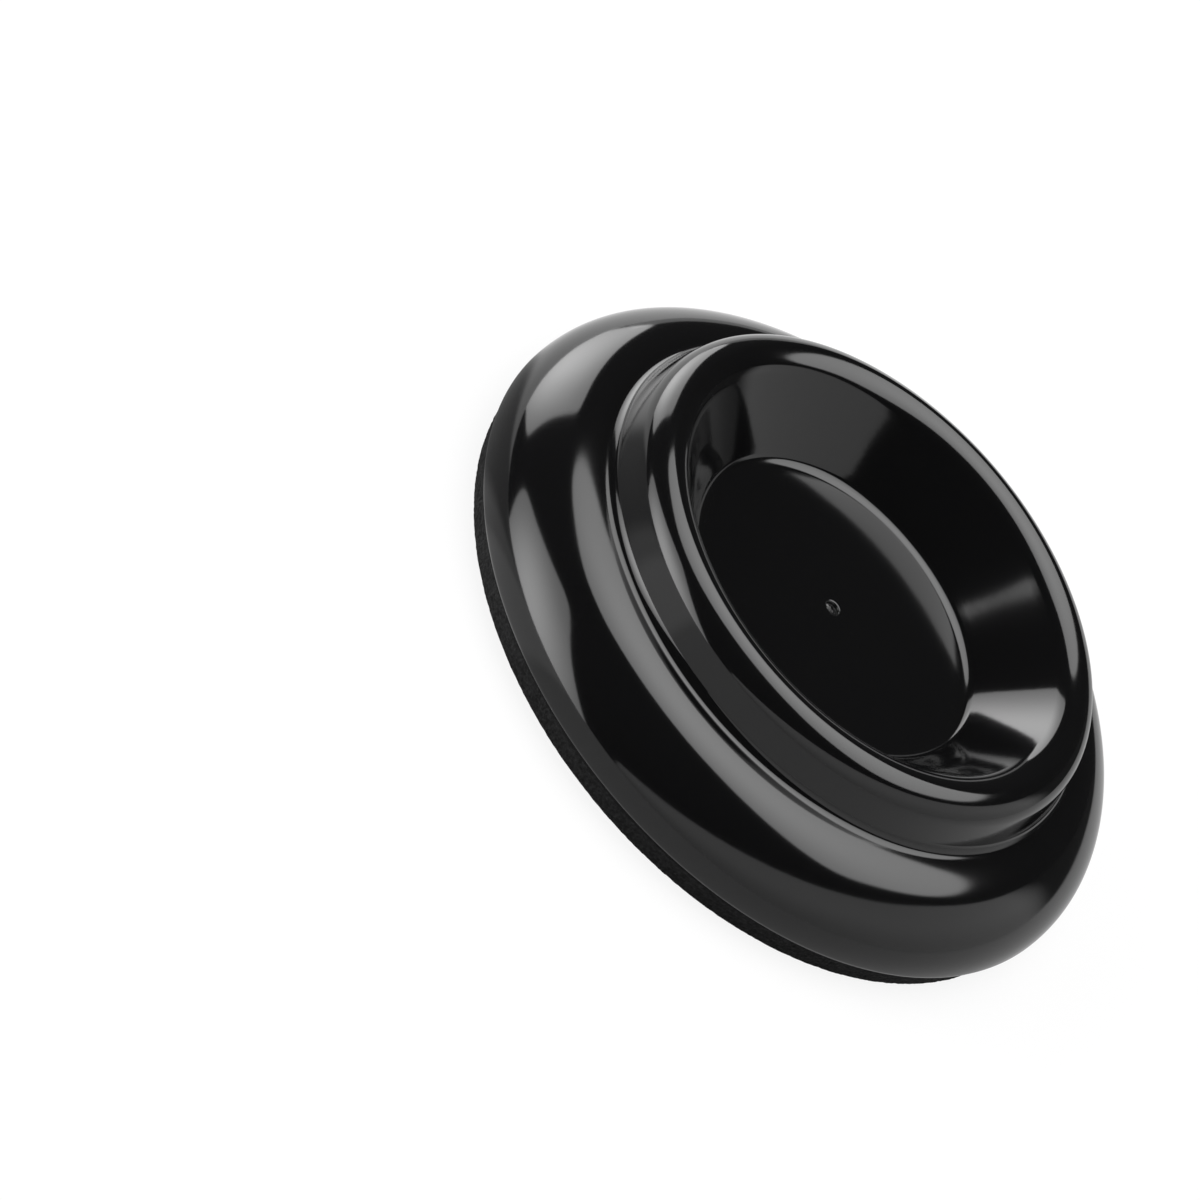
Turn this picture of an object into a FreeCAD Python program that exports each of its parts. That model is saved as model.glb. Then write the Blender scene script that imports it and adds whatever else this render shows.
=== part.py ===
"""Castor cup: a moulded plastic cup on a foam pad, which a furniture or piano castor stands in.

The cup lies on its pad, with the origin at the middle of the pad's underside and +Z up its axis.
All sizes are in millimetres. The cup is one moulding: a broad rounded outer ring, a cove, a raised
inner ring with a rounded lip, and a dish with a sloping wall and a flat floor. Its underside is
cored out, with ribs that stand on the pad.
"""
import FreeCAD
import Part
import math
import os

# Foam pad
PAD_THICKNESS = 4.1
PAD_SETBACK = 1.4          # the pad's edge lies this far inside the outer ring

# Outer ring, whose rounded top is two arcs that run into each other
OUTER_RADIUS = 62.5
FOOT_TUCK = 1.0            # the ring's foot draws in by this much to the pad
FOOT_HEIGHT = 1.1
RING_FLANK_RADIUS = 11.6
RING_FLANK_ANGLE = 53.5    # degrees that the flank arc turns before the top arc begins
RING_TOP_RADIUS = 22.6

# Inner ring and lip
CUP_HEIGHT = 28.15
INNER_RING_RADIUS = 46.3   # where the inner ring's wall runs into the lip's round
RING_WALL_DRAFT = 13.5     # degrees that the wall leans inwards
COVE_RADIUS = 2.5          # concave round between the outer ring and the inner ring
LIP_RADIUS = 5.4           # convex round from the inner ring's wall up to the top
LIP_ANGLE = 79.0           # degrees above the level at which the lip's round ends
LIP_WIDTH = 7.0            # from the inner ring's wall to the top of the dish wall
LIP_FALL = 0.9             # drop of the bevel between the lip's round and the dish wall

# Dish
DISH_DEPTH = 13.6
DISH_FLOOR_RADIUS = 27.7

# Mark that the moulding gate leaves in the middle of the dish floor
GATE_RADIUS = 1.3
GATE_DEPTH = 0.5
GATE_NUB_RADIUS = 0.6
GATE_NUB_HEIGHT = 0.35

# Cored underside
WALL = 2.8
LIP_CORE_COVER = 3.4       # plastic left between the coring and the top of the lip
LIP_CORE_WIDTH = 1.2       # narrowest top of the coring inside the inner ring
RIB_COUNT = 6
RIB_THICKNESS = 1.8


def polar(centre, radius, angle):
    """The point (r, z) at a radius and an angle from a centre of the section."""
    return centre[0] + radius * math.cos(angle), centre[1] + radius * math.sin(angle)


# Sizes that follow from those above
PAD_RADIUS = OUTER_RADIUS - PAD_SETBACK
FOOT_RADIUS = OUTER_RADIUS - FOOT_TUCK
WIDEST_Z = PAD_THICKNESS + FOOT_HEIGHT
FLANK_ANGLE = math.radians(RING_FLANK_ANGLE)
FLANK_CENTRE = (OUTER_RADIUS - RING_FLANK_RADIUS, WIDEST_Z)
TOP_CENTRE = polar(FLANK_CENTRE, RING_FLANK_RADIUS - RING_TOP_RADIUS, FLANK_ANGLE)
DRAFT_ANGLE = math.radians(RING_WALL_DRAFT)
LIP_END_ANGLE = math.radians(LIP_ANGLE)
LIP_CENTRE_R = INNER_RING_RADIUS - LIP_RADIUS * math.cos(DRAFT_ANGLE)
LIP_CENTRE = (LIP_CENTRE_R, CUP_HEIGHT - LIP_RADIUS * math.sin(LIP_END_ANGLE))
LIP_END = polar(LIP_CENTRE, LIP_RADIUS, LIP_END_ANGLE)
MOUTH = (INNER_RING_RADIUS - LIP_WIDTH, LIP_END[1] - LIP_FALL)
FLOOR_Z = CUP_HEIGHT - DISH_DEPTH
DISH_SLOPE = math.atan2(MOUTH[1] - FLOOR_Z, MOUTH[0] - DISH_FLOOR_RADIUS)

# The cove's round touches the ring's top arc and the leaning wall: its centre lies off the wall by its radius
COVE_REACH = (LIP_CENTRE[0] - TOP_CENTRE[0]) * math.cos(DRAFT_ANGLE) + LIP_RADIUS + COVE_RADIUS
COVE_REACH += (LIP_CENTRE[1] - TOP_CENTRE[1]) * math.sin(DRAFT_ANGLE)
COVE_ANGLE = DRAFT_ANGLE + math.acos(COVE_REACH / (RING_TOP_RADIUS + COVE_RADIUS))
COVE_CENTRE = polar(TOP_CENTRE, RING_TOP_RADIUS + COVE_RADIUS, COVE_ANGLE)


def chain(*corners):
    """Straight edges through the corners (r, z) of the section."""
    points = [FreeCAD.Vector(r, 0, z) for r, z in corners]
    return [Part.LineSegment(a, b).toShape() for a, b in zip(points, points[1:])]


def arc(centre, radius, start, end):
    """A circular arc of the section between two angles in radians."""
    corners = [polar(centre, radius, angle) for angle in (start, (start + end) / 2, end)]
    return Part.Arc(*[FreeCAD.Vector(r, 0, z) for r, z in corners]).toShape()


def revolved(edges):
    """The solid that a closed section makes when it is turned about Z."""
    face = Part.Face(Part.Wire(edges))
    return face.revolve(FreeCAD.Vector(0, 0, 0), FreeCAD.Vector(0, 0, 1), 360)


def cup_body():
    """The cup before coring: from the pad up over the ring and the lip, down the dish, flat below."""
    gate_z = FLOOR_Z - GATE_DEPTH
    nub_z = gate_z + GATE_NUB_HEIGHT
    edges = chain((0, PAD_THICKNESS), (FOOT_RADIUS, PAD_THICKNESS), (OUTER_RADIUS, WIDEST_Z))
    edges += [
        arc(FLANK_CENTRE, RING_FLANK_RADIUS, 0, FLANK_ANGLE),
        arc(TOP_CENTRE, RING_TOP_RADIUS, FLANK_ANGLE, COVE_ANGLE),
        arc(COVE_CENTRE, COVE_RADIUS, math.pi + COVE_ANGLE, math.pi + DRAFT_ANGLE),
    ]
    wall_foot = polar(COVE_CENTRE, COVE_RADIUS, math.pi + DRAFT_ANGLE)
    edges += chain(wall_foot, polar(LIP_CENTRE, LIP_RADIUS, DRAFT_ANGLE))
    edges.append(arc(LIP_CENTRE, LIP_RADIUS, DRAFT_ANGLE, LIP_END_ANGLE))
    edges += chain(LIP_END, MOUTH, (DISH_FLOOR_RADIUS, FLOOR_Z), (GATE_RADIUS, FLOOR_Z),
                   (GATE_RADIUS, gate_z), (GATE_NUB_RADIUS, gate_z), (GATE_NUB_RADIUS, nub_z), (0, nub_z),
                   (0, PAD_THICKNESS))
    return revolved(edges)


def coring():
    """The space that the cored underside leaves, at least one wall inside the cup's outside."""
    ring_r = INNER_RING_RADIUS - WALL
    ring_z = TOP_CENTRE[1] + math.sqrt((RING_TOP_RADIUS - WALL) ** 2 - (ring_r - TOP_CENTRE[0]) ** 2)
    wall_across = WALL / math.sin(DISH_SLOPE)
    narrow_z = FLOOR_Z + (ring_r - LIP_CORE_WIDTH - DISH_FLOOR_RADIUS - wall_across) * math.tan(DISH_SLOPE)
    core_z = min(LIP_END[1] - LIP_CORE_COVER, narrow_z)
    core_r = DISH_FLOOR_RADIUS + wall_across + (core_z - FLOOR_Z) / math.tan(DISH_SLOPE)
    under_r = DISH_FLOOR_RADIUS + WALL * math.tan(DISH_SLOPE / 2)
    return revolved(chain(
        (0, PAD_THICKNESS), (FOOT_RADIUS - WALL, PAD_THICKNESS), (ring_r, ring_z), (ring_r, core_z),
        (core_r, core_z), (under_r, FLOOR_Z - WALL), (0, FLOOR_Z - WALL), (0, PAD_THICKNESS)))


def ribs():
    """The ribs that run out from the axis, as tall as the cup."""
    corner = FreeCAD.Vector(0, -RIB_THICKNESS / 2, PAD_THICKNESS)
    pieces = []
    for index in range(RIB_COUNT):
        rib = Part.makeBox(OUTER_RADIUS, RIB_THICKNESS, LIP_END[1] - PAD_THICKNESS, corner)
        rib.rotate(FreeCAD.Vector(0, 0, 0), FreeCAD.Vector(0, 0, 1), index * 360 / RIB_COUNT)
        pieces.append(rib)
    return pieces


def cup_shell():
    """The moulded cup: its body, less the coring between the ribs."""
    return cup_body().cut(coring().cut(ribs()))


def foam_pad():
    """The foam disc stuck under the cup, which closes the cored underside."""
    return Part.makeCylinder(PAD_RADIUS, PAD_THICKNESS)


os.makedirs("parts", exist_ok=True)
for name, shape in (("cup_shell", cup_shell()), ("foam_pad", foam_pad())):
    shape.exportStep("parts/" + name + ".step")
    print(name, "valid", shape.isValid(), "solids", len(shape.Solids), "volume", round(shape.Volume, 1),
          "box", shape.BoundBox)
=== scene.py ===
"""A castor cup of gloss black plastic on a foam pad, laid flat on a white studio floor.

Both pieces are surfaces of revolution: a section of lines, arcs and elliptical arcs in the half
plane (r, z) is turned about the cup's axis. Sizes in the section are millimetres.
"""

import math

import bmesh
import bpy
import numpy as np
from mathutils import Euler, Matrix, Vector


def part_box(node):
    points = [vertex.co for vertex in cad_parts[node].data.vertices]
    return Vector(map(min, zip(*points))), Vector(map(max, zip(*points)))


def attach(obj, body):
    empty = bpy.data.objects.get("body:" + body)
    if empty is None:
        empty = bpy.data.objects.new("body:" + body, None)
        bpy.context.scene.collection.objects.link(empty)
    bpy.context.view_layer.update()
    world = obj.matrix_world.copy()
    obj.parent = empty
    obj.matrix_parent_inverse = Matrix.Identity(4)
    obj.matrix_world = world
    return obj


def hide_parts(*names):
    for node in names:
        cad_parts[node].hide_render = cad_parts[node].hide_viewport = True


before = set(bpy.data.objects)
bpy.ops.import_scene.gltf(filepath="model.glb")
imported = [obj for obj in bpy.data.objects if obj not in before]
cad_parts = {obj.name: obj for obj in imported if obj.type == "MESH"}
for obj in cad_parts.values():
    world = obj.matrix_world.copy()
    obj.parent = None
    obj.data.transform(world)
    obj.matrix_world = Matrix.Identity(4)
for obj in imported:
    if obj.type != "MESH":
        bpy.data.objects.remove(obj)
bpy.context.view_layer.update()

MM = 0.001

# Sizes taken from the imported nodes
OUTER_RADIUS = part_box("cup_shell")[1].x / MM
CUP_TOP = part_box("cup_shell")[1].z / MM
PAD_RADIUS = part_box("foam_pad")[1].x / MM
PAD_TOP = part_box("foam_pad")[1].z / MM

# Outer ring: an ellipse above the widest place, a rounder crown on top of it, a small round below
WIDEST_Z = PAD_TOP + 1.1
RING_HALF_WIDTH = 25.3
RING_HALF_HEIGHT = 15.95
CROWN_SLOPE = math.radians(55.3)
CROWN_RADIUS = 14.45
FOOT_TUCK = 0.9
FOOT_EDGE = 0.08

# Inner ring, lip and dish
INNER_RING_RADIUS = 46.7
RING_WALL_DRAFT = math.radians(13.5)
COVE_RADIUS = 2.2
LIP_RISE = 5.19
LIP_HALF_WIDTH = 7.9
LIP_HALF_HEIGHT = 5.7
LIP_FLANK_RADIUS = 5.0
LIP_FLANK_SLOPE = math.radians(57)
LIP_END_SLOPE = math.radians(68)
CREST_RADIUS = 2.2
CREST_END_SLOPE = math.radians(100.5)
SHOULDER_RADIUS = 6.2
DISH_DEPTH = 13.6
DISH_WALL_TOP_SLOPE = math.radians(50.0)
DISH_WALL_FOOT_SLOPE = math.radians(48.8)
DISH_FILLET = 3.0

# Mark of the moulding gate in the middle of the dish floor
GATE_RADIUS = 1.6
GATE_ROUND = 0.45
GATE_DEPTH = 0.5
TEAR_HEIGHT = 0.14         # of the torn surface inside the mark

# Cored underside, closed by the pad
CORE_WALL = 2.8
CORE_COVER = 3.4
RIB_COUNT = 6
RIB_THICKNESS = 1.8
RIB_EMBED = 0.5            # the ribs run this far into the shell's wall
CORING_POINTS = 6          # the cup's section ends with these points of the coring

# Foam pad
PAD_EDGE = 0.3             # round of the cut edge, top and bottom
PIT_SEED = 7
PIT_SIZE = 0.035           # spread of the pits in the cut edge
PIT_BIAS = 1.5             # in spreads: how far the noise lies inside the edge
PIT_DEEPEST = 0.16
CUT_BAND = 0.6             # the roughness starts this far inside the edge
CUT_BLEND = 0.4
# Painted shade on the foam's top, where the shell's foot overhangs it
PAINTED_SHADE_DEPTH = 1.0            # the foam is darker from this far below its top
PAINTED_SHADE_BLEND = 0.2

# Fineness of the surfaces: columns round the axis, and the angle from which an edge is sharp
CUP_COLUMNS = 400
PAD_COLUMNS = 1200
SHARP_ANGLE = math.radians(32)

# Camera: where it stands, the point that the middle of the picture looks at, and its roll
CAMERA_PLACE = Vector((0.0, -0.62978, 0.46058))
CAMERA_AIM = Vector((-0.02565, 0.0, -0.02091))
CAMERA_ROLL = math.radians(48.913)
CAMERA_LENS = 143.23
CAMERA_SENSOR = 36.0

# Share of the stage's white that glows to the camera and in reflections; the rest shows the shadow
GLOW_SHARE = 0.88


def line(start, end, count):
    """Points evenly spaced on the straight line from start to end."""
    t = np.linspace(0, 1, count)[:, None]
    return (1 - t) * np.array(start) + t * np.array(end)


def arc(centre, half_width, half_height, start, end, count):
    """Points of an ellipse about a centre, between two parameters: (a cos q, b sin q)."""
    q = np.linspace(start, end, count)
    return np.stack([centre[0] + half_width * np.cos(q), centre[1] + half_height * np.sin(q)], 1)


def on_circle(centre, radius, angle):
    """The point of a circle at an angle. A negative radius goes from such a point back to the centre."""
    return centre[0] + radius * math.cos(angle), centre[1] + radius * math.sin(angle)


def on_ellipse(centre, half_width, half_height, q):
    """The point of an ellipse at a parameter."""
    return centre[0] + half_width * math.cos(q), centre[1] + half_height * math.sin(q)


def slope_parameter(half_width, half_height, slope):
    """Ellipse parameter at which the outward normal rises by the given slope."""
    return math.atan2(half_height * math.sin(slope), half_width * math.cos(slope))


def cup_section():
    """The cup's closed section: from the axis in the dish out over the lip, and back to the axis below."""
    quarter = math.pi / 2
    ring_centre = (OUTER_RADIUS - RING_HALF_WIDTH, WIDEST_Z)
    ring_stop = slope_parameter(RING_HALF_WIDTH, RING_HALF_HEIGHT, CROWN_SLOPE)
    ring_end = on_ellipse(ring_centre, RING_HALF_WIDTH, RING_HALF_HEIGHT, ring_stop)
    crown = on_circle(ring_end, -CROWN_RADIUS, CROWN_SLOPE)

    lip = (INNER_RING_RADIUS - LIP_HALF_WIDTH, CUP_TOP - LIP_RISE)
    lip_start = slope_parameter(LIP_HALF_WIDTH, LIP_HALF_HEIGHT, LIP_FLANK_SLOPE)
    lip_stop = slope_parameter(LIP_HALF_WIDTH, LIP_HALF_HEIGHT, LIP_END_SLOPE)
    lip_end = on_ellipse(lip, LIP_HALF_WIDTH, LIP_HALF_HEIGHT, lip_stop)

    # The cove touches the crown and the inner ring's leaning wall, and lies off both by its radius
    flank_end = on_ellipse(lip, LIP_HALF_WIDTH, LIP_HALF_HEIGHT, lip_start)
    flank = on_circle(flank_end, -LIP_FLANK_RADIUS, LIP_FLANK_SLOPE)
    wall_end = on_circle(flank, LIP_FLANK_RADIUS, RING_WALL_DRAFT)
    cove_reach = (wall_end[0] - crown[0]) * math.cos(RING_WALL_DRAFT) + COVE_RADIUS
    cove_reach += (wall_end[1] - crown[1]) * math.sin(RING_WALL_DRAFT)
    leave = RING_WALL_DRAFT + math.acos(cove_reach / (CROWN_RADIUS + COVE_RADIUS))
    cove = on_circle(crown, CROWN_RADIUS + COVE_RADIUS, leave)
    wall_start = on_circle(cove, -COVE_RADIUS, RING_WALL_DRAFT)
    crest = on_circle(lip_end, -CREST_RADIUS, LIP_END_SLOPE)
    crest_end = on_circle(crest, CREST_RADIUS, CREST_END_SLOPE)
    shoulder = on_circle(crest_end, -SHOULDER_RADIUS, CREST_END_SLOPE)
    floor_z = CUP_TOP - DISH_DEPTH

    # The dish wall is very slightly hollow: an arc of large radius that touches the lip's inner
    # shoulder above and the fillet of the dish floor below
    top_angle = quarter + DISH_WALL_TOP_SLOPE
    foot_angle = quarter + DISH_WALL_FOOT_SLOPE
    wall_top = on_circle(shoulder, SHOULDER_RADIUS, top_angle)
    fillet_rise = DISH_FILLET * (1 - math.cos(DISH_WALL_FOOT_SLOPE))
    wall_turn = math.cos(DISH_WALL_TOP_SLOPE) - math.cos(DISH_WALL_FOOT_SLOPE)
    wall_radius = (wall_top[1] - floor_z - fillet_rise) / wall_turn
    wall = on_circle(wall_top, -wall_radius, top_angle)
    wall_foot = on_circle(wall, wall_radius, foot_angle)
    fillet = on_circle(wall_foot, DISH_FILLET, foot_angle)

    # The gate's mark: a dimple with a rounded rim
    gate_z = floor_z - GATE_DEPTH

    foot_r = OUTER_RADIUS - FOOT_TUCK
    edge = (foot_r - FOOT_EDGE, PAD_TOP + FOOT_EDGE)
    ring_r = INNER_RING_RADIUS - CORE_WALL
    core_foot = crown[1] + CROWN_RADIUS - CORE_WALL
    core_z = CUP_TOP - CORE_COVER
    slope = (DISH_WALL_TOP_SLOPE + DISH_WALL_FOOT_SLOPE) / 2
    core_r = wall_top[0] + CORE_WALL / math.sin(slope) + (core_z - wall_top[1]) / math.tan(slope)
    core_floor = (wall_foot[0], floor_z - CORE_WALL)
    stretches = [
        line((0, gate_z), (GATE_RADIUS - GATE_ROUND, gate_z), 12),
        arc((GATE_RADIUS, gate_z), GATE_ROUND, GATE_DEPTH, math.pi, quarter, 12),
        line((GATE_RADIUS, floor_z), (fillet[0], floor_z), 8),
        arc(fillet, DISH_FILLET, DISH_FILLET, -quarter, DISH_WALL_FOOT_SLOPE - quarter, 16),
        arc(wall, wall_radius, wall_radius, foot_angle, top_angle, 12),
        arc(shoulder, SHOULDER_RADIUS, SHOULDER_RADIUS, top_angle, CREST_END_SLOPE, 18),
        arc(crest, CREST_RADIUS, CREST_RADIUS, CREST_END_SLOPE, LIP_END_SLOPE, 14),
        arc(lip, LIP_HALF_WIDTH, LIP_HALF_HEIGHT, lip_stop, lip_start, 8),
        arc(flank, LIP_FLANK_RADIUS, LIP_FLANK_RADIUS, LIP_FLANK_SLOPE, RING_WALL_DRAFT, 18),
        line(wall_end, wall_start, 4),
        arc(cove, COVE_RADIUS, COVE_RADIUS, math.pi + RING_WALL_DRAFT, math.pi + leave, 22),
        arc(crown, CROWN_RADIUS, CROWN_RADIUS, leave, CROWN_SLOPE, 16),
        arc(ring_centre, RING_HALF_WIDTH, RING_HALF_HEIGHT, ring_stop, 0, 36),
        arc((foot_r, WIDEST_Z), FOOT_TUCK, WIDEST_Z - edge[1], 0, -math.radians(75), 10),
        arc(edge, FOOT_EDGE, FOOT_EDGE, 0, -quarter, 7),
        line((edge[0], PAD_TOP), (foot_r - CORE_WALL, PAD_TOP), 3),
        np.array([(ring_r, core_foot), (ring_r, core_z), (core_r, core_z)]),
        np.array([core_floor, (0, core_floor[1])]),
    ]
    points = np.concatenate(stretches)
    step = np.hypot(*np.diff(points, axis=0).T)
    return points[np.concatenate([[True], step > 1e-4])]


def pad_section():
    """The pad's closed section: a flat disc whose cut edge is slightly rounded top and bottom."""
    quarter = math.pi / 2
    corner_r = PAD_RADIUS - PAD_EDGE
    stretches = [
        line((0, PAD_TOP), (PAD_RADIUS - 3, PAD_TOP), 4),
        line((PAD_RADIUS - 2.6, PAD_TOP), (corner_r, PAD_TOP), 8),
        arc((corner_r, PAD_TOP - PAD_EDGE), PAD_EDGE, PAD_EDGE, quarter, 0, 6)[1:],
        line((PAD_RADIUS, PAD_TOP - PAD_EDGE), (PAD_RADIUS, PAD_EDGE), 30)[1:],
        arc((corner_r, PAD_EDGE), PAD_EDGE, PAD_EDGE, 0, -quarter, 6)[1:],
        line((PAD_RADIUS - 1.5, 0), (PAD_RADIUS - 8, 0), 5),
        line((PAD_RADIUS - 20, 0), (0, 0), 4),
    ]
    return np.concatenate(stretches)


def turned(name, section, columns, move=None):
    """Turns a section about Z: the point (r, z) at angle t becomes (r cos t, r sin t, z).

    The section starts and ends on the axis, and each end is one vertex, so the surface is closed.
    move may shift the points: it takes and gives back arrays r, t, z of rows by columns.
    """
    t = np.linspace(0, 2 * math.pi, columns, endpoint=False)
    rows = len(section) - 2
    r = np.repeat(section[1:-1, :1], columns, axis=1)
    z = np.repeat(section[1:-1, 1:], columns, axis=1)
    t = np.repeat(t[None, :], rows, axis=0)
    if move is not None:
        r, t, z = move(r, t, z)
    ring = np.stack([r * np.cos(t), r * np.sin(t), z], -1).reshape(-1, 3)
    ends = np.array([[0, 0, section[0, 1]], [0, 0, section[-1, 1]]])
    vertices = np.concatenate([ring, ends]) * MM
    index = np.arange(rows * columns).reshape(rows, columns)
    after = np.roll(index, -1, axis=1)
    quads = np.stack([index[:-1], index[1:], after[1:], after[:-1]], -1).reshape(-1, 4)
    first, last = rows * columns, rows * columns + 1
    top = np.stack([np.full(columns, first), index[0], after[0]], -1)
    bottom = np.stack([index[-1], np.full(columns, last), after[-1]], -1)
    mesh = bpy.data.meshes.new(name)
    mesh.from_pydata(vertices.tolist(), [], quads.tolist() + top.tolist() + bottom.tolist())
    mesh.polygons.foreach_set("use_smooth", np.ones(len(mesh.polygons), bool))
    mesh.set_sharp_from_angle(angle=SHARP_ANGLE)
    mesh.update()
    piece = bpy.data.objects.new(name, mesh)
    bpy.context.scene.collection.objects.link(piece)
    return piece


def add_ribs(piece, coring):
    """Adds the ribs under the cup to its mesh: the coring's section (r, z), made thick, turned about Z.

    The section is closed along the axis and the pad, and its point (r, z) at angle t and offset w lies
    at (r cos t - w sin t, r sin t + w cos t, z), for w of half a thickness to each side.
    """
    reach = coring + RIB_EMBED * np.array([[0, 0], [1, 1], [1, 1], [-1, 1], [-1, 1], [0, 1]])
    section = np.concatenate([[[0, PAD_TOP]], reach])
    count = len(section)
    t = np.arange(RIB_COUNT)[:, None, None] * (2 * math.pi / RIB_COUNT)
    w = np.array([-0.5, 0.5])[None, :, None] * RIB_THICKNESS
    r = section[None, None, :, 0]
    z = np.broadcast_to(section[None, None, :, 1], (RIB_COUNT, 2, count))
    x = r * np.cos(t) - w * np.sin(t)
    y = r * np.sin(t) + w * np.cos(t)
    points = np.stack([x, y, z], -1).reshape(-1, 3)
    index = np.arange(RIB_COUNT * 2 * count).reshape(RIB_COUNT, 2, count)
    after = np.roll(index, -1, axis=2)
    sides = np.stack([after[:, 0], index[:, 0], index[:, 1], after[:, 1]], -1).reshape(-1, 4)
    caps = index[:, 0].tolist() + index[:, 1, ::-1].tolist()
    mesh = bpy.data.meshes.new("ribs")
    mesh.from_pydata((points * MM).tolist(), [], sides.tolist() + caps)
    joined = bmesh.new()
    joined.from_mesh(piece.data)
    joined.from_mesh(mesh)
    joined.to_mesh(piece.data)
    joined.free()
    bpy.data.meshes.remove(mesh)


def torn_gate(r, t, z):
    """Tears the gate's mark: inside its rim the height waves round the axis, most towards -Y."""
    inside = np.clip((GATE_RADIUS - GATE_ROUND - r) / 0.2, 0, 1)
    off_axis = np.clip(r / 0.4, 0, 1)
    tear = 0.6 * np.cos(2 * t - 0.6 + 2 * r)
    tear = tear + 0.3 * np.cos(5 * t + 1.1 - 3 * r) + 0.2 * np.cos(9 * t + 5 * r)
    share = 0.2 + 0.4 * (1 - np.sin(t + 0.2))
    return r, t, z + TEAR_HEIGHT * tear * share * inside * off_axis


def cut_foam(r, t, z):
    """Roughens the pad's cut edge: pits from a seeded random field, smoothed a little both ways."""
    noise = np.random.default_rng(PIT_SEED).normal(size=r.shape)
    for axis in (0, 1):
        noise = (np.roll(noise, 1, axis) + 2 * noise + np.roll(noise, -1, axis)) / 4
    noise /= noise.std()
    at_edge = np.clip((r - (PAD_RADIUS - CUT_BAND)) / CUT_BLEND, 0, 1)
    inward = np.clip(PIT_SIZE * (noise - PIT_BIAS), -PIT_DEEPEST, 0)
    return r + at_edge * inward, t, z


def new_material(name):
    """An empty node material: the material, its node tree and its output."""
    material = bpy.data.materials.new(name)
    material.use_nodes = True
    tree = material.node_tree
    tree.nodes.clear()
    output = tree.nodes.new("ShaderNodeOutputMaterial")
    return material, tree, output


def add(tree, kind, **sockets):
    """Adds a node and sets its named sockets; a socket given as (node, output) is linked."""
    node = tree.nodes.new(kind)
    for key, value in sockets.items():
        name = key.replace("_", " ")
        if isinstance(value, tuple) and hasattr(value[0], "outputs"):
            tree.links.new(value[0].outputs[value[1]], node.inputs[name])
        else:
            node.inputs[name].default_value = value
    return node


def gloss_black_plastic():
    """Polished black plastic: a mirror-like skin with a faint moulding ripple and a trace of dust."""
    material, tree, output = new_material("gloss_black_plastic")
    coordinates = tree.nodes.new("ShaderNodeTexCoord")
    ripple = add(tree, "ShaderNodeTexNoise", Vector=(coordinates, "Object"), Scale=55.0, Detail=1.0)
    skin = add(tree, "ShaderNodeTexNoise", Vector=(coordinates, "Object"), Scale=900.0, Detail=2.0)
    ripple_bump = add(tree, "ShaderNodeBump", Height=(ripple, "Fac"), Strength=0.14, Distance=0.0006)
    skin_bump = add(tree, "ShaderNodeBump", Height=(skin, "Fac"), Normal=(ripple_bump, "Normal"),
                    Strength=0.03, Distance=0.00005)
    haze = add(tree, "ShaderNodeTexNoise", Vector=(coordinates, "Object"), Scale=38.0, Detail=4.0)
    roughness = add(tree, "ShaderNodeMapRange", Value=(haze, "Fac"), From_Min=0.3, From_Max=0.75,
                    To_Min=0.07, To_Max=0.11)
    shader = add(tree, "ShaderNodeBsdfPrincipled", Roughness=(roughness, "Result"),
                 Normal=(skin_bump, "Normal"))
    shader.inputs["Base Color"].default_value = (0.0032, 0.0032, 0.0034, 1)
    shader.inputs["IOR"].default_value = 1.5
    tree.links.new(shader.outputs["BSDF"], output.inputs["Surface"])
    return material


def black_foam():
    """Matt black foam: open cells, pale specks and dark pits, and painted shade along its top."""
    material, tree, output = new_material("black_foam")
    coordinates = tree.nodes.new("ShaderNodeTexCoord")
    cells = add(tree, "ShaderNodeTexVoronoi", Vector=(coordinates, "Object"), Scale=2200.0)
    clumps = add(tree, "ShaderNodeTexNoise", Vector=(coordinates, "Object"), Scale=1900.0, Detail=3.0)
    tone = tree.nodes.new("ShaderNodeValToRGB")
    tone.color_ramp.elements[0].position = 0.38
    tone.color_ramp.elements[0].color = (0.003, 0.003, 0.0031, 1)
    tone.color_ramp.elements[1].position = 0.72
    tone.color_ramp.elements[1].color = (0.0165, 0.0165, 0.017, 1)
    place = add(tree, "ShaderNodeSeparateXYZ", Vector=(coordinates, "Object"))
    # Painted shade: the top of the foam, under the shell's foot, is made darker
    painted_shade = add(tree, "ShaderNodeMapRange", Value=(place, "Z"), From_Min=(PAD_TOP - PAINTED_SHADE_DEPTH) * MM,
               From_Max=(PAD_TOP - PAINTED_SHADE_DEPTH + PAINTED_SHADE_BLEND) * MM, To_Min=1.0, To_Max=0.55)
    # The random mottle times the painted shade at the top
    mottle_and_painted_shade = add(tree, "ShaderNodeMath")
    mottle_and_painted_shade.operation = "MULTIPLY"
    tree.links.new(clumps.outputs["Fac"], mottle_and_painted_shade.inputs[0])
    tree.links.new(painted_shade.outputs["Result"], mottle_and_painted_shade.inputs[1])
    tree.links.new(mottle_and_painted_shade.outputs["Value"], tone.inputs["Fac"])
    bump = add(tree, "ShaderNodeBump", Height=(cells, "Distance"), Strength=0.5, Distance=0.0002)
    shader = add(tree, "ShaderNodeBsdfPrincipled", Base_Color=(tone, "Color"), Normal=(bump, "Normal"))
    shader.inputs["Roughness"].default_value = 0.9
    shader.inputs["Specular IOR Level"].default_value = 0.25
    tree.links.new(shader.outputs["BSDF"], output.inputs["Surface"])
    return material


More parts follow.
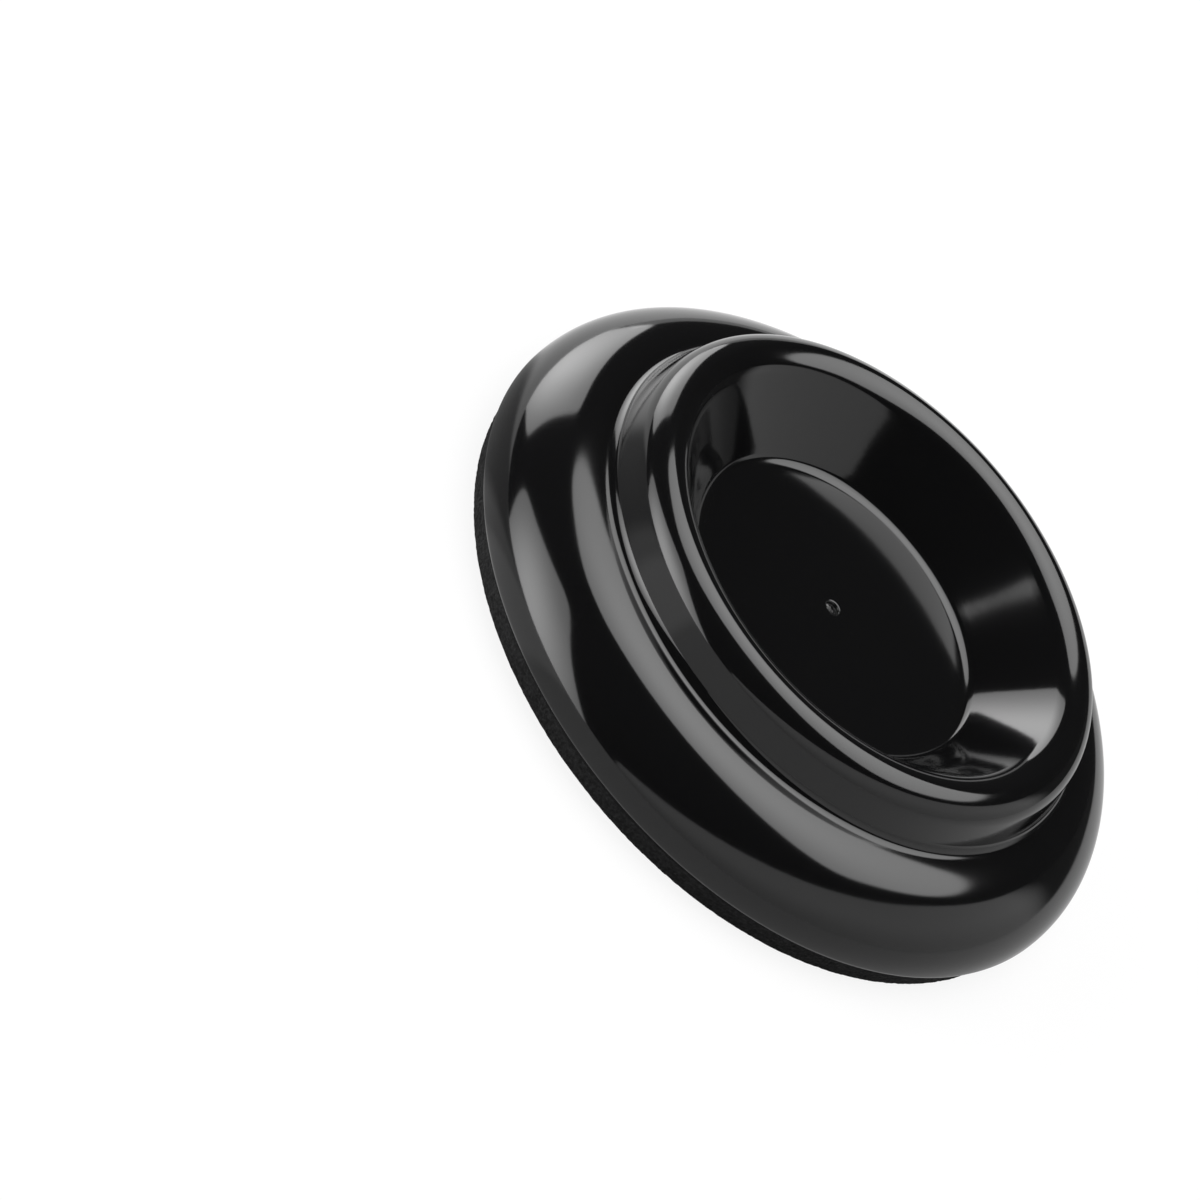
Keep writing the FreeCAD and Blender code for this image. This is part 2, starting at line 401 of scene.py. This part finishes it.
def studio_white(name, strength, painted_light_fades):
    """White of the stage: plain white to the camera, with a soft shadow, and greyer in reflections.

    In reflections its strength is multiplied by each fade, which paints light and shade into the glow:
    whether it goes by side, a direction, two measures along it and the factors there. The measure is
    the distance along the direction, or by side the cosine of the angle from it, seen from the origin.
    """
    material, tree, output = new_material(name)
    coordinates = tree.nodes.new("ShaderNodeTexCoord")
    side = add(tree, "ShaderNodeVectorMath")
    side.operation = "NORMALIZE"
    tree.links.new(coordinates.outputs["Object"], side.inputs[0])
    reflected = strength
    # Each fade paints light and shade into what reflections see of this white
    for by_side, direction, low, high, low_factor, high_factor in painted_light_fades:
        along = add(tree, "ShaderNodeVectorMath")
        along.operation = "DOT_PRODUCT"
        along.inputs[1].default_value = direction
        place = side.outputs["Vector"] if by_side else coordinates.outputs["Object"]
        tree.links.new(place, along.inputs[0])
        factor = add(tree, "ShaderNodeMapRange", Value=(along, "Value"), From_Min=low, From_Max=high,
                     To_Min=low_factor, To_Max=high_factor)
        factor.interpolation_type = "SMOOTHSTEP"
        product = add(tree, "ShaderNodeMath")
        product.operation = "MULTIPLY"
        tree.links.new(factor.outputs["Result"], product.inputs[0])
        if isinstance(reflected, tuple):
            tree.links.new(reflected[0].outputs[reflected[1]], product.inputs[1])
        else:
            product.inputs[1].default_value = reflected
        reflected = (product, "Value")
    path = tree.nodes.new("ShaderNodeLightPath")
    level = add(tree, "ShaderNodeMapRange", Value=(path, "Is Camera Ray"), To_Min=reflected)
    seen = add(tree, "ShaderNodeMath")
    seen.operation = "MAXIMUM"
    tree.links.new(path.outputs["Is Camera Ray"], seen.inputs[0])
    tree.links.new(path.outputs["Is Glossy Ray"], seen.inputs[1])
    seen_all = add(tree, "ShaderNodeMath")
    seen_all.operation = "MAXIMUM"
    tree.links.new(seen.outputs[0], seen_all.inputs[0])
    tree.links.new(path.outputs["Is Transmission Ray"], seen_all.inputs[1])
    share = add(tree, "ShaderNodeMath")
    share.operation = "MULTIPLY"
    share.inputs[1].default_value = GLOW_SHARE
    tree.links.new(seen_all.outputs[0], share.inputs[0])
    paint = add(tree, "ShaderNodeBsdfDiffuse", Color=(0.85, 0.85, 0.85, 1))
    white = add(tree, "ShaderNodeEmission", Color=(1, 1, 1, 1), Strength=(level, "Result"))
    mix = add(tree, "ShaderNodeMixShader", Fac=(share, "Value"))
    tree.links.new(paint.outputs[0], mix.inputs[1])
    tree.links.new(white.outputs[0], mix.inputs[2])
    tree.links.new(mix.outputs[0], output.inputs["Surface"])
    return material


def stage_sheet(name, side, across, up, reach, material):
    """A white sheet of the stage: a profile across and up, carried along a straight path.

    It is carried square to its own plane by the reach each way, and the whole is turned about Z so
    that the profile's far end points to the given side.
    """
    s, t = np.meshgrid(across, np.array([-reach, reach]), indexing="ij")
    x = s * math.cos(side) - t * math.sin(side)
    y = s * math.sin(side) + t * math.cos(side)
    z = np.repeat(np.asarray(up, float)[:, None], 2, axis=1)
    index = np.arange(len(across) * 2).reshape(-1, 2)
    quads = np.stack([index[:-1, 0], index[1:, 0], index[1:, 1], index[:-1, 1]], -1)
    mesh = bpy.data.meshes.new(name)
    mesh.from_pydata(np.stack([x, y, z], -1).reshape(-1, 3).tolist(), [], quads.tolist())
    mesh.polygons.foreach_set("use_smooth", np.ones(len(mesh.polygons), bool))
    mesh.materials.append(material)
    sheet = bpy.data.objects.new(name, mesh)
    bpy.context.scene.collection.objects.link(sheet)


def studio_stage():
    """The floor, a long wall on the right and a low one behind, whose white varies in reflections.

    Their glow has painted light and shade in reflections: the floor is brightest behind and in front
    on the left and darkest between them, and the wall brightens upwards and ends softly towards the back.
    """
    side, back = math.radians(-12), math.radians(100)
    distance, height = 1.7, 1.5
    # Painted light and shade, seen in reflections: the floor brighter behind and in front on the left and
    # darker on the left, the wall darker low down and towards the back
    floor_white = studio_white("studio_floor_white", 0.6, [
        (True, (-0.707, 0.707, 0), 0.7, 0.81, 1.0, 1.65),
        (True, (-0.966, -0.259, 0), 0.94, 0.98, 1.0, 0.25),
        (True, (-0.602, -0.799, 0), 0.97, 0.99, 1.0, 1.65),
    ])
    wall_white = studio_white("studio_wall_white", 0.95, [
        (False, (0, 0, 1), 0.0, 1.0, 0.65, 1.0),
        (False, (0.208, 0.978, 0), 2.2, 3.3, 1.0, 0.05),
    ])
    back_white = studio_white("studio_back_white", 0.65, [])
    stage_sheet("studio_floor", side, across=[-4.0, distance], up=[0, 0], reach=14.0,
                material=floor_white)
    stage_sheet("studio_wall", side, across=[distance, distance], up=[0, height], reach=14.0,
                material=wall_white)
    stage_sheet("studio_back", back, across=[3.0, 3.0], up=[0, 0.3], reach=1.2, material=back_white)


def vector_length(tree, node):
    """Adds the length of a vector node's output."""
    length = tree.nodes.new("ShaderNodeVectorMath")
    length.operation = "LENGTH"
    tree.links.new(node.outputs[0], length.inputs[0])
    return length


def softbox(name, azimuth, elevation, distance, size, x_axis, y_axis, middle, rim, squarings):
    """A softbox with round corners: brightest in its middle and falling off towards its rim.

    Its middle lies at an azimuth and elevation seen from the cup, its edges run along two given
    directions, and middle and rim are its radiances there. Its outline is a superellipse, for which
    its coordinates are squared once for round corners or twice for tighter ones.
    """
    a, e = math.radians(azimuth), math.radians(elevation)
    lamp = bpy.data.lights.new(name, "AREA")
    lamp.shape = "RECTANGLE"
    lamp.size = size[0] * distance
    lamp.size_y = size[1] * distance
    lamp.energy = math.pi * lamp.size * lamp.size_y
    lamp.use_nodes = True
    tree = lamp.node_tree
    geometry = tree.nodes.new("ShaderNodeNewGeometry")
    centred = tree.nodes.new("ShaderNodeVectorMath")
    centred.operation = "SUBTRACT"
    centred.inputs[1].default_value = (0.5, 0.5, 0)
    tree.links.new(geometry.outputs["Parametric"], centred.inputs[0])
    reach = vector_length(tree, centred)
    outline = centred
    for _ in range(squarings):
        square = tree.nodes.new("ShaderNodeVectorMath")
        square.operation = "MULTIPLY"
        tree.links.new(outline.outputs[0], square.inputs[0])
        tree.links.new(outline.outputs[0], square.inputs[1])
        outline = square
    edge = 0.5 ** (2 ** squarings)
    fall = add(tree, "ShaderNodeMapRange", Value=(reach, "Value"), From_Max=0.6, To_Min=middle,
               To_Max=rim)
    fall.interpolation_type = "SMOOTHSTEP"
    mask = add(tree, "ShaderNodeMapRange", Value=(vector_length(tree, outline), "Value"),
               From_Min=0.9 * edge, From_Max=edge, To_Min=(fall, "Result"), To_Max=0.0)
    tree.links.new(mask.outputs["Result"], tree.nodes["Emission"].inputs["Strength"])
    light = bpy.data.objects.new(name, lamp)
    bpy.context.scene.collection.objects.link(light)
    x = Vector(x_axis).normalized()
    y = Vector(y_axis)
    y = (y - y.dot(x) * x).normalized()
    z = x.cross(y)
    seen_at = Vector((math.cos(e) * math.cos(a), math.cos(e) * math.sin(a), math.sin(e)))
    middle_point = distance * seen_at
    if z.dot(middle_point) < 0:
        x, z = -x, -z
    turn = Matrix((x, y, z)).transposed()
    light.matrix_world = Matrix.LocRotScale(middle_point, turn.to_quaternion(), None)
    light.visible_camera = False


def studio_lights():
    """Three softboxes in a dark room: one overhead, one behind and one in front on the left."""
    softbox("softbox_overhead", azimuth=98, elevation=77, distance=1.5, size=(0.93, 1.59),
            x_axis=(0.09, -0.87, 0.49), y_axis=(0.98, -0.02, -0.21),
            middle=4.8, rim=3.2, squarings=1)
    softbox("softbox_back", azimuth=143, elevation=9.7, distance=1.6, size=(0.68, 0.64),
            x_axis=(0.765, 0.385, 0.516), y_axis=(-0.204, -0.615, 0.761),
            middle=5.2, rim=2.6, squarings=2)
    softbox("softbox_side", azimuth=-143, elevation=6.7, distance=0.75, size=(0.92, 1.47),
            x_axis=(0.579, -0.552, 0.6), y_axis=(0.389, -0.46, -0.798),
            middle=6.2, rim=2.4, squarings=2)
    world = bpy.data.worlds.new("dark_room")
    world.use_nodes = True
    world.node_tree.nodes["Background"].inputs["Color"].default_value = (0.028, 0.028, 0.028, 1)
    bpy.context.scene.world = world


def photo_camera():
    """The camera at its place, looking at its aim point and rolled about its own line of sight."""
    data = bpy.data.cameras.new("camera")
    data.lens = CAMERA_LENS
    data.sensor_width = CAMERA_SENSOR
    data.clip_end = 50
    camera = bpy.data.objects.new("camera", data)
    bpy.context.scene.collection.objects.link(camera)
    level = (CAMERA_AIM - CAMERA_PLACE).to_track_quat("-Z", "Y").to_matrix()
    camera.matrix_world = (level @ Euler((0, 0, CAMERA_ROLL)).to_matrix()).to_4x4()
    camera.location = CAMERA_PLACE
    bpy.context.scene.camera = camera


section = cup_section()
cup = turned("castor_cup_shell", section, CUP_COLUMNS, torn_gate)
add_ribs(cup, section[-CORING_POINTS:])
cup.data.materials.append(gloss_black_plastic())
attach(cup, "root")
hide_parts("cup_shell")

pad = turned("foam_base_pad", pad_section(), PAD_COLUMNS, cut_foam)
pad.data.materials.append(black_foam())
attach(pad, "root")
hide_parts("foam_pad")

studio_stage()
studio_lights()
photo_camera()
bpy.context.scene.view_settings.view_transform = "Standard"
